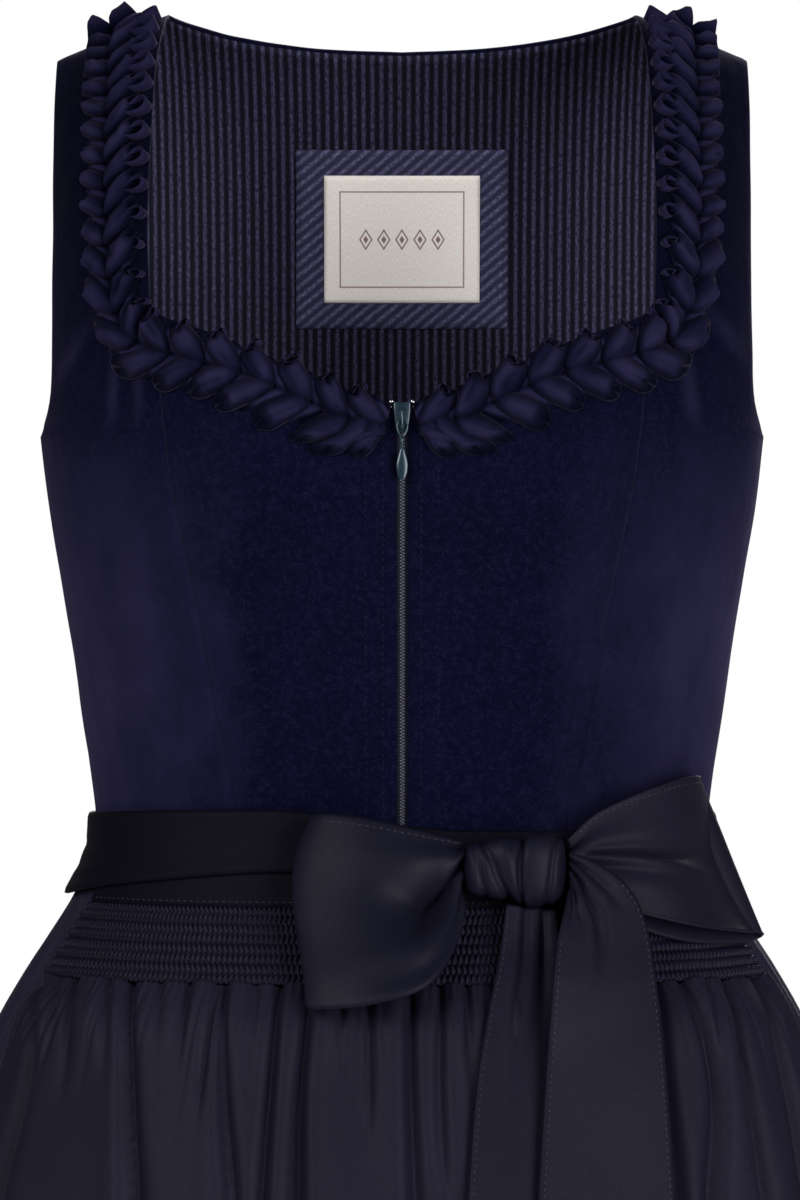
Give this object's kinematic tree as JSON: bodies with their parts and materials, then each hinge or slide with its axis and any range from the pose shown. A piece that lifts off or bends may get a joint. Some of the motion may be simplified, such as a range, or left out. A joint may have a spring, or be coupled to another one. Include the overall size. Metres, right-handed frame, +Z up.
{
  "type": "dirndl",
  "caption": "Sleeveless velvet dirndl with a sweetheart neckline, ruched trim and front zip, under a smocked satin apron tied in a bow, filled out as worn and hollow.",
  "frame": {"origin": "midway between the two shoulder seams, where the wearer's shoulders carry the dress", "axes": "+Z up, -Y out of the front, +X towards the wearer's left"},
  "size_m": [0.6116, 0.4766, 1.0766],
  "materials": {
    "velvet": "dark navy cotton velvet, matt with a pale sheen where it turns away",
    "apron_satin": "blue-black taffeta satin, soft gloss",
    "skirt_satin": "dark navy satin, soft gloss",
    "striped_lining": "navy lining with narrow speckled stripes",
    "woven_label": "cream woven ribbon with a thin maroon frame",
    "zip_tape": "navy woven tape",
    "zip_coil": "grey nylon coil",
    "zip_metal": "petrol blue lacquer"
  },
  "bodies": {
    "garment": {"bodice_front_centre_left": "velvet", "bodice_front_centre_right": "velvet", "bodice_front_side_left": "velvet", "bodice_front_side_right": "velvet", "bodice_back_side_left": "velvet", "bodice_back_side_right": "velvet", "bodice_back_centre": "velvet", "neck_ruffle_left": "velvet", "neck_ruffle_right": "velvet", "lining_back": "striped_lining", "label_patch": "striped_lining", "label": "woven_label", "zip_tape": "zip_tape", "zip_coil": "zip_coil", "zip_slider": "zip_metal", "apron_waistband": "apron_satin", "apron_smocking": "apron_satin", "apron_skirt": "apron_satin", "tie_band": "apron_satin", "bow_knot": "apron_satin", "bow_loop_left": "apron_satin", "bow_loop_right": "apron_satin", "bow_tail_left": "apron_satin", "bow_tail_right": "apron_satin", "skirt_front": "skirt_satin", "skirt_back": "skirt_satin"},
    "zip_pull": {"zip_pull": "zip_metal"}
  },
  "joints": [
    {"name": "zip_pull_hinge", "type": "hinge", "parent": "garment", "child": "zip_pull", "pos_m": [0, -0.1225, -0.1865], "axis": [-1, 0, 0], "range_deg": [0, 150]}
  ]
}
